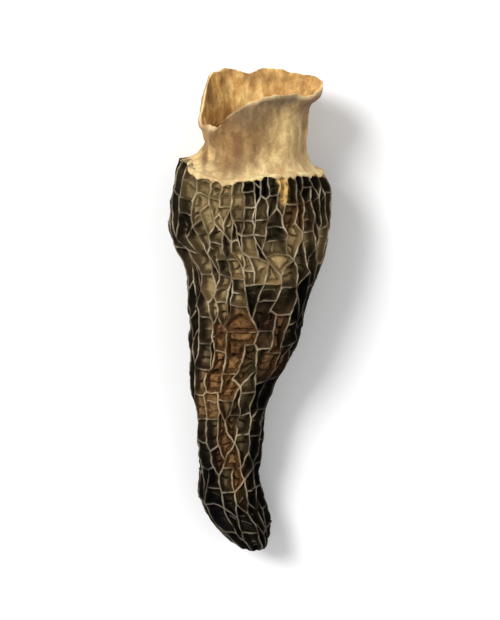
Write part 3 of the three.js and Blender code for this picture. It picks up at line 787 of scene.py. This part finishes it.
# the form of the stem, in mm
stemForm = {
    # share of the way to its lip, sideways shift, height of the middle, half width and half depth
    "stations": [
        (0, 0.1, 12.5, 12.2, 10.6), (0.1, 0.6, 12.7, 10.35, 9.4), (0.25, 1.05, 13, 9.05, 8.3),
        (0.45, 1.3, 13.4, 9, 7.8), (0.65, 1.2, 13.8, 9.25, 7.7), (0.85, 1.45, 14.2, 9.75, 7.9),
        (1, 2.55, 14.5, 10.3, 8.3),
    ],
    # how far the lip stands out, every 15 degrees from the +X side over the top
    "lipReach": (
        13.4, 12.9, 12.4, 12.5, 12.8, 12.8, 12.3, 11.3, 9.8, 7.6, 6.9, 7.0,
        7.9, 13.0, 15.8, 16.2, 16.4, 15.4, 16.5, 16.3, 15.9, 15.6, 15.35, 14.6,
    ),
    "groove": (math.radians(149), 1.1),
    "wall": 1.2,
    "lipWall": 0.42,
    "sides": 240,
    "rings": 64,
    "wrinkles": 0.42,  # depth of the lengthwise wrinkles
    "collar": ((3.5, 0.7), (2.6, 1.6)),  # the first rings, within the rim: inset and shift, mm
    # rings of the skirt, under it and over it again: share of its lap, mm in, share of the bare depth
    "skirtRings": (
        (0.2, 1.2, 0.6), (0.6, 0.75, 0.8), (0.95, 0.42, 0.9), (1, 0.14, 1), (0.85, -0.06, 1), (0.4, -0.1, 1),
    ),
    "skirt": (0.0, 1.1, 0.7),  # how far the skirt laps over the cap: least, most, and more at each ridge
    "bare": (math.radians(168), 0.34, 1.7),  # where the skirt lies below the ridges, how wide and how deep
    # swellings and hollows: angle, half width in radians, mm out, share of the way, half length
    "swells": (
        (math.radians(190), 0.5, -0.55, 0.04, 0.09),
        (math.radians(178), 0.15, 1.1, 1, 0.13),
        (math.radians(0), 0.35, 0.95, 0.91, 0.085),
    ),
    "torn": ((0.32, 6, 7), (0.02, 19, 8)),  # how the lip's edge runs in and out: mm, waves, seed
}


# zones of colour and of painted shade on the stem, in mm: x, y, half width, half length, strength, outside 0
# or inside 1
stemStainsAndShade = {
    "gold": (
        (-9.8, 32.4, 1.6, 2.2, 1, 0), (-10.8, 31, 1.2, 1.2, 1, 0), (-11.6, 29.4, 1.4, 1.4, 1, 0),
        (-8, 47, 4, 6, 0.3, 1), (8, 46, 6, 4, 0.6, 1),
    ),
    "brown": (
        (-3.9, 37, 1.7, 3.2, 0.8, 0), (-2.6, 33, 1.7, 3.2, 1, 0), (-4, 29.2, 2.4, 1.8, 1, 0),
        (-8, 30.6, 0.6, 2.4, 1, 0), (-6.6, 35.5, 0.6, 3, 0.5, 0), (10.5, 39, 1.8, 4.5, 0.7, 0),
        (-9.6, 38, 1.6, 3.4, 0.8, 0), (-1, 47.5, 2.6, 2.8, 1, 1), (-7.5, 41.5, 2, 2.4, 0.6, 1),
        (4, 44, 5, 1, 0.5, 1),
    ),
    # painted shade under the overhanging lip
    "lipShade": (
        (4.5, 41, 8, 2.6, 1, 0), (-1, 39, 4, 2.8, 0.9, 0), (8.5, 43, 4, 1.8, 0.9, 0),
        (-7, 37, 1.6, 2, 0.6, 0),
    ),
}


def bump(x, middle, half):
    return np.exp(-(((x - middle) / half) ** 2))


# points on the stem, sunk in by inset
def stemPoints(angle, share, inset, extra=0.0):
    angle = np.asarray(angle, float)
    row = curveThrough(stemForm["stations"], np.full(angle.shape, share))
    part, side, rise, halfWidth, halfDepth = np.moveaxis(row, -1, 0)
    grooveAngle, grooveDepth = stemForm["groove"]
    groove = grooveDepth * bump(wrapAngle(angle - grooveAngle), 0, 0.11) * bump(part, 0.15, 0.25)
    flutes = 0.25 * np.cos(7 * angle + 2 * part) + 0.3 * part * np.cos(3 * angle + 1.1)
    grown = flutes * np.minimum(1, 4 * part) - groove - inset - 0.5 * bareAt(angle) * bump(part, 0, 0.12)
    for middle, half, size, place, reach in stemForm["swells"]:
        grown = grown + size * bump(wrapAngle(angle - middle), 0, half) * bump(part, place, reach)
    out = part * curveAround(stemForm["lipReach"], angle)
    out = out - (1 - part) ** 2 * curveAround(capForm["rimWave"], angle)
    x = side + (halfWidth + grown) * np.cos(angle)
    return np.stack([x, out + extra, rise + (halfDepth + grown) * np.sin(angle)], -1)


# noise along a circle that is waves wide, so it closes round the stem
def noiseRound(angle, waves, height):
    return np.array([noise.noise(Vector((math.cos(a) * waves, math.sin(a) * waves, height))) for a in angle])


# lengthwise wrinkles and small dents of the skin
def wrinkleAt(angle, share, seed):
    long, fine = noiseRound(angle, 3.4, share * 1.1 + seed), noiseRound(angle, 9, share * 4.5 + seed)
    return stemForm["wrinkles"] * (0.62 * long + 0.26 * fine)


def makeStem():
    bm = bmesh.new()
    inside, toLip, curled = newLayers(bm, "inside", "toLip", "rolled")
    zones = dict(zip(stemStainsAndShade, newLayers(bm, *stemStainsAndShade)))
    sides = stemForm["sides"]
    angle = np.arange(sides) * turn / sides
    first = bmesh.ops.create_circle(bm, segments=sides, radius=1)["verts"]
    low, high, fang = stemForm["skirt"]
    lap = mix(low, high, 0.5 + noiseRound(angle, 5, 3.3))
    for crestAngle in rimCrests:
        lap += fang * bump(wrapAngle(angle - crestAngle), 0, 0.028) * (0.6 + 0.4 * math.sin(crestAngle * 37))
    stations = np.array(capForm["stations"])
    lapShare = np.interp(lap, stations[:, 0], np.linspace(0, 1, len(stations)))
    sunk = bareAt(angle)
    lapShare = np.maximum(lapShare * (1 - sunk / stemForm["bare"][2]), 0.004)
    rings = [(sectionPoints(angle, 0.0, inset, shift), 0, 0) for inset, shift in stemForm["collar"]]
    for part, inset, dip in stemForm["skirtRings"]:
        rings.append((capPoints(angle, lapShare * part, inset + sunk * dip), 0, 0))
    count = stemForm["rings"]
    seams = capPoints(angle, np.zeros(sides), sunk - 0.08)
    torn = sum(size * noiseRound(angle, waves, height) for size, waves, height in stemForm["torn"])
    for i in range(count + 1):
        share = i / count
        wrinkle = wrinkleAt(angle, share, 0) * min(1, 0.2 + 3 * share)
        grown = stemPoints(angle, share, -wrinkle, torn * share**6)
        rings.append((mix(grown, seams, bump(share, 0, 0.035)), 0, share))
    wall = stemForm["lipWall"] + 0.5 * bump(angle, math.radians(140), 0.7)
    for part, extra, isInside in ((0.12, 0.12, 0), (0.5, 0.2, 0.5), (0.88, 0.12, 1)):
        rings.append((stemPoints(angle, 1, part * wall, torn + extra), isInside, 1))
    innerCount = count * 3 // 4
    for i in range(innerCount, 0, -1):
        share = i / innerCount
        thick = mix(stemForm["wall"], wall, share**4)
        wrinkle = 1.8 * wrinkleAt(angle, share, 5) * min(1, 5 * (1.1 - share))
        rings.append((stemPoints(angle, share, thick - wrinkle, torn * share**6), 1, share))
    edges = list(bm.edges)
    ringVerts = first
    for k, (place, isInside, share) in enumerate(rings):
        if k:
            edges, ringVerts = drawOut(bm, edges)
        for v in ringVerts:
            v.co.z = k
            v[inside], v[toLip] = isInside, share
    bmesh.ops.bridge_loops(bm, edges=[e for e in bm.edges if e.is_boundary])
    reach = curveAround(stemForm["lipReach"], angle)
    for v in bm.verts:
        k = round(v.co.z)
        i = round(math.atan2(v.co.y, v.co.x) / turn * sides) % sides
        spot = rings[k][0][i]
        v.co = Vector(spot + cadShift) * mm
        v[curled] = bump((1 - v[toLip]) * reach[i], 0, 0.5) * min(max((spot[2] - 12) / 5, 0), 1)
    every = list(bm.verts)
    spots = np.array([v.co / mm for v in every])
    crumple = wavy(spots, ((0.17, 1.9), (0.07, 0.7)), 9)
    bm.normal_update()
    bmesh.ops.recalc_face_normals(bm, faces=bm.faces)
    bm.normal_update()
    for v, c in zip(every, crumple):
        v.co += v.normal * c * mm
    stray = np.stack([wavy(spots, ((1.2, 3.5), (0.7, 1.3)), 60 + k) for k in range(2)], -1)
    isInside = read(every, inside)
    for name, marks in stemStainsAndShade.items():
        total = np.zeros(len(every))
        for x, y, halfWidth, halfLength, strength, side in marks:
            away = (spots[:, :2] + stray * min(halfWidth / 3, 1) - (x, y)) / (halfWidth, halfLength)
            near = (away**2).sum(1)
            facing = np.clip((spots[:, 2] - 8) / 3, 0, 1) if side == 0 else 1
            shows = strength * facing * (np.abs(isInside - side) < 0.5)
            total = np.maximum(total, shows * np.exp(-(near**1.5)))
        fill(every, zones[name], total)
    return finished(bm, "stemFlesh")


# the CAD's tip tells where the cap lies
tip = min(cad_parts["cap"].data.vertices, key=lambda v: v.co.y).co / mm
cadShift = np.array(tip) - sectionPoints(0.0, 1.0, 0.0)

cap = makeCap()
stem = makeStem()


# the shader's colours from their everyday numbers, 0 to 255
def paints(colours):
    linear = lambda c: c / 12.92 if c < 0.0404 else ((c + 0.055) / 1.055) ** 2.4
    return {name: tuple(linear(c / 255) for c in parts) + (1,) for name, parts in colours.items()}


# a new node, with its inputs set to values or linked
def add(tree, kind, inputs=None, **settings):
    made = tree.nodes.new("ShaderNode" + kind)
    for name, value in settings.items():
        setattr(made, name, value)
    for name, value in (inputs or {}).items():
        if isinstance(value, bpy.types.NodeSocket):
            tree.links.new(value, made.inputs[name])
        else:
            made.inputs[name].default_value = value
    return made


def blend(tree, factor, a, b, how="MIX"):
    return add(tree, "Mix", {0: factor, 6: a, 7: b}, data_type="RGBA", blend_type=how).outputs[2]


def calc(tree, how, a, b=0.0):
    return add(tree, "Math", {0: a, 1: b}, operation=how).outputs[0]


def times(tree, a, b):
    return calc(tree, "MULTIPLY", a, b)


def attribute(tree, name):
    return add(tree, "Attribute", attribute_name=name).outputs["Fac"]


# lays colours on where the mesh carries their names, each as strong as it says
def coats(tree, colour, *layers):
    for name, strength, tint in layers:
        colour = blend(tree, times(tree, attribute(tree, name), strength), colour, tint)
    return colour


# a tint for the multiply and overlay blends
def grey(value, green=None, blue=None):
    return (value, green or value, blue or value, 1)


# value from low to high drawn out to 0 to 1
def span(tree, value, low, high):
    return add(tree, "MapRange", {0: value, 1: low, 2: high}, interpolation_type="SMOOTHSTEP").outputs[0]


# fine mealy grain and coarser blotches, drawn out by stretch
def makeGrain():
    group = bpy.data.node_groups.new("mealyGrain", "ShaderNodeTree")
    for name, kind, value in (("Scale", "Float", 900.0), ("Stretch", "Vector", (1, 1, 1))):
        socket = group.interface.new_socket(name, in_out="INPUT", socket_type="NodeSocket" + kind)
        socket.default_value = value
    given, result = group.nodes.new("NodeGroupInput"), group.nodes.new("NodeGroupOutput")
    where = add(group, "TexCoord").outputs["Object"]
    drawn = add(group, "Mapping", {0: where, 3: given.outputs["Stretch"]}).outputs[0]
    blotch = add(group, "TexNoise", {0: drawn, "Scale": given.outputs["Scale"], "Detail": 3.0}).outputs[0]
    finer = times(group, given.outputs["Scale"], 4.3)
    grain = add(group, "TexNoise", {0: drawn, "Scale": finer, "Detail": 4.0, "Roughness": 0.65}).outputs[0]
    height = calc(group, "ADD", times(group, blotch, 0.6), times(group, grain, 0.4))
    shown = (span(group, blotch, 0.38, 0.64), span(group, grain, 0.3, 0.7), height)
    for name, value in zip(("Blotch", "Grain", "Height"), shown):
        group.interface.new_socket(name, in_out="OUTPUT", socket_type="NodeSocketFloat")
        group.links.new(value, result.inputs[name])
    return group


grainGroup = makeGrain()


# blotches, grain and their relief
def useGrain(tree, scale, stretch=(1, 1, 1)):
    return add(tree, "Group", {"Scale": scale, "Stretch": stretch}, node_tree=grainGroup).outputs


def newMaterial(name):
    material = bpy.data.materials.new(name)
    material.use_nodes = True
    tree = material.node_tree
    return material, tree, tree.nodes["Principled BSDF"]


# links a colour and the grain's relief to the shader
def dress(tree, shader, colour, grain, height, relief, roughness, specular):
    normal = add(tree, "Bump", {"Strength": 0.6, "Distance": relief, "Height": height})
    rough = calc(tree, "ADD", times(tree, grain, 0.2), roughness)
    tree.links.new(colour, shader.inputs["Base Color"])
    tree.links.new(normal.outputs[0], shader.inputs["Normal"])
    tree.links.new(rough, shader.inputs["Roughness"])
    shader.inputs["Specular IOR Level"].default_value = specular


# colours of the cap
capColours = {
    "khaki": (132, 115, 82),
    "olive": (80, 70, 48),
    "tan": (190, 164, 114),
    "warm": (150, 112, 68),
    "warmDeep": (76, 48, 28),
    "shadeAndDark": (16, 13, 11),
    "shadeAndDarkWarm": (44, 20, 14),
    "cream": (232, 200, 130),
    "creamDeep": (204, 160, 84),
    "ridge": (182, 168, 142),
    "ridgeWorn": (122, 108, 86),
    "ridgeWarm": (166, 140, 104),
    "ridgeDarkAndShade": (78, 72, 63),
    "ridgeShadeBlack": (36, 32, 28),
    "inside": (196, 172, 128),
}


def makeCapMaterial():
    material, tree, shader = newMaterial("driedCap")
    c = paints(capColours)
    blotch, lumps, _ = useGrain(tree, 300.0)
    _, grain, height = useGrain(tree, 1500.0)
    ground = blend(tree, blotch, c["olive"], c["khaki"])
    ground = coats(tree, ground, ("tan", 0.85, c["tan"]))
    warm, floor, creamy = (attribute(tree, name) for name in ("warm", "floor", "cream"))
    ground = blend(tree, warm, ground, blend(tree, lumps, c["warmDeep"], c["warm"]))
    # painted shade over the darker skin: near black, warmer where the cap is warm
    dark = blend(tree, warm, c["shadeAndDark"], c["shadeAndDarkWarm"])
    ground = blend(tree, attribute(tree, "shadeAndDark"), ground, dark)
    mealy = blend(tree, 0.35, ground, blend(tree, grain, grey(0.25), grey(1)), "OVERLAY")
    cream = blend(tree, grain, c["creamDeep"], c["cream"])
    mealy = blend(tree, creamy, mealy, cream)
    tone = blend(tree, attribute(tree, "tone"), grey(0.55, 0.52, 0.5), grey(1))
    toned = blend(tree, 1.0, mealy, tone, "MULTIPLY")

    # painted shade: walls are darker than floors, and creases darker still
    paler = calc(tree, "MAXIMUM", attribute(tree, "soft"), attribute(tree, "tan"))
    softer = calc(tree, "MAXIMUM", times(tree, paler, 0.7), times(tree, warm, 0.45))
    shade = blend(tree, softer, grey(0.16, 0.14, 0.13), grey(0.56, 0.51, 0.46))
    shade = blend(tree, creamy, shade, grey(0.8, 0.76, 0.7))
    wider = calc(tree, "ADD", times(tree, warm, 0.65), 0.35)
    shade = blend(tree, times(tree, span(tree, floor, 0.0, -0.7), wider), shade, grey(0.1, 0.08, 0.07))
    wall = blend(tree, 1.0, mealy, shade, "MULTIPLY")
    deep = blend(tree, span(tree, floor, 0.0, 0.9), wall, toned)

    # the pale crowns of the ridges
    pale = blend(tree, blotch, c["ridgeWorn"], c["ridge"])
    # crests darkened under the painted shade and dark skin, and near black under the painted ridge shade
    pale = coats(
        tree, pale, ("warm", 0.6, c["ridgeWarm"]), ("shadeAndDark", 0.75, c["ridgeDarkAndShade"]),
        ("ridgeShade", 0.85, c["ridgeShadeBlack"]), ("soft", 0.6, mealy), ("cream", 0.8, cream),
    )
    colour = blend(tree, span(tree, attribute(tree, "ridge"), 0.25, 0.95), deep, pale)
    within = span(tree, attribute(tree, "along"), 90.0, 99.0)
    colour = blend(tree, within, colour, c["inside"])
    dress(tree, shader, colour, grain, height, 0.0002, 0.7, 0.08)
    return material


# colours of the stem
stemColours = {
    "cream": (186, 158, 106),
    "beige": (142, 112, 70),
    "light": (210, 186, 134),
    "shade": (126, 100, 70),
    "gold": (186, 144, 76),
    "brown": (112, 78, 42),
    "lipShade": (118, 100, 74),
    "inner": (214, 178, 112),
    "innerDeep": (166, 122, 64),
    "edge": (230, 204, 154),
}


def makeStemMaterial():
    material, tree, shader = newMaterial("driedStem")
    c = paints(stemColours)
    broad, lumps, _ = useGrain(tree, 160.0, (1, 0.45, 1))
    specks, grain, height = useGrain(tree, 900.0, (1, 0.6, 1))
    streak, _, _ = useGrain(tree, 420.0, (1, 0.3, 1))
    toLip, inside = attribute(tree, "toLip"), attribute(tree, "inside")
    colour = blend(tree, broad, c["beige"], c["cream"])
    colour = blend(tree, times(tree, span(tree, toLip, 0.42, 0.0), 0.85), colour, c["light"])
    # painted shade: greyer towards the lip and under it
    uneven = calc(tree, "ADD", lumps, 0.2)
    underLipShade = times(tree, span(tree, toLip, 0.45, 0.95), uneven)
    colour = blend(tree, times(tree, underLipShade, 0.6), colour, c["shade"])
    colour = coats(tree, colour, ("lipShade", 0.75, c["lipShade"]))
    inner = blend(tree, lumps, c["innerDeep"], c["inner"])
    colour = blend(tree, span(tree, inside, 0.3, 0.9), colour, inner)
    spots = ("gold", 0.7, c["gold"]), ("brown", 0.8, c["brown"]), ("rolled", 0.45, c["edge"])
    colour = coats(tree, colour, *spots)
    offEdge = calc(tree, "ABSOLUTE", calc(tree, "SUBTRACT", inside, 0.5))
    colour = blend(tree, times(tree, span(tree, offEdge, 0.4, 0.05), 0.8), colour, c["edge"])
    streaks = (0.7, streak, grey(0.34, 0.31, 0.29), grey(0.6))
    mottles = (0.5, specks, grey(0.36, 0.34, 0.33), grey(0.6))
    meal = (0.3, grain, grey(0.3), grey(0.9))
    for strength, pattern, dark, light in (streaks, mottles, meal):
        colour = blend(tree, strength, colour, blend(tree, pattern, dark, light), "OVERLAY")
    dress(tree, shader, colour, grain, height, 0.0003, 0.66, 0.3)
    return material


cap.data.materials.append(makeCapMaterial())
stem.data.materials.append(makeStemMaterial())
print("materials made")

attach(cap, "root")
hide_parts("cap")
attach(stem, "root")
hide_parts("stem")

# floor, light and camera
studio = {
    "floor": (0.9, 0.9, 0.9, 1),
    "sky": 0.55,
    # name, place, size and power
    "lights": (("softKey", (-0.42, 0.38, 0.62), 0.3, 6.5), ("softFill", (0.5, 0.1, 0.5), 0.5, 1)),
    "lens": 105,
    "distance": 0.33,
    "elevation": 101,  # past overhead, leaning to the stem's side
    "target": (-0.00004, 0.00175, 0.01),
}

bpy.ops.mesh.primitive_plane_add(size=3)
ground = bpy.context.object
ground.name = "paleFloor"
material, tree, shader = newMaterial("floorPaint")
shader.inputs["Base Color"].default_value = studio["floor"]
shader.inputs["Roughness"].default_value = 0.9
ground.data.materials.append(material)

world = bpy.data.worlds.new("studio")
bpy.context.scene.world = world
world.use_nodes = True
sky = world.node_tree.nodes["Background"]
sky.inputs["Color"].default_value = (1, 1, 1, 1)
sky.inputs["Strength"].default_value = studio["sky"]

for name, place, size, power in studio["lights"]:
    light = bpy.data.lights.new(name, "AREA")
    light.energy, light.size = power, size
    lamp = newObject(name, light)
    lamp.location = place
    lamp.rotation_euler = (-Vector(place)).to_track_quat("-Z", "Y").to_euler()
bpy.context.scene.view_settings.view_transform = "Standard"

lens = bpy.data.cameras.new("camera")
lens.lens = studio["lens"]
lens.clip_start = 0.01
camera = newObject("camera", lens)
bpy.context.scene.camera = camera
elevation, target = math.radians(studio["elevation"]), Vector(studio["target"])
camera.location = target + Vector((0, -math.cos(elevation), math.sin(elevation))) * studio["distance"]
camera.rotation_euler = (math.radians(90) - elevation, 0, 0)
print("stage set")
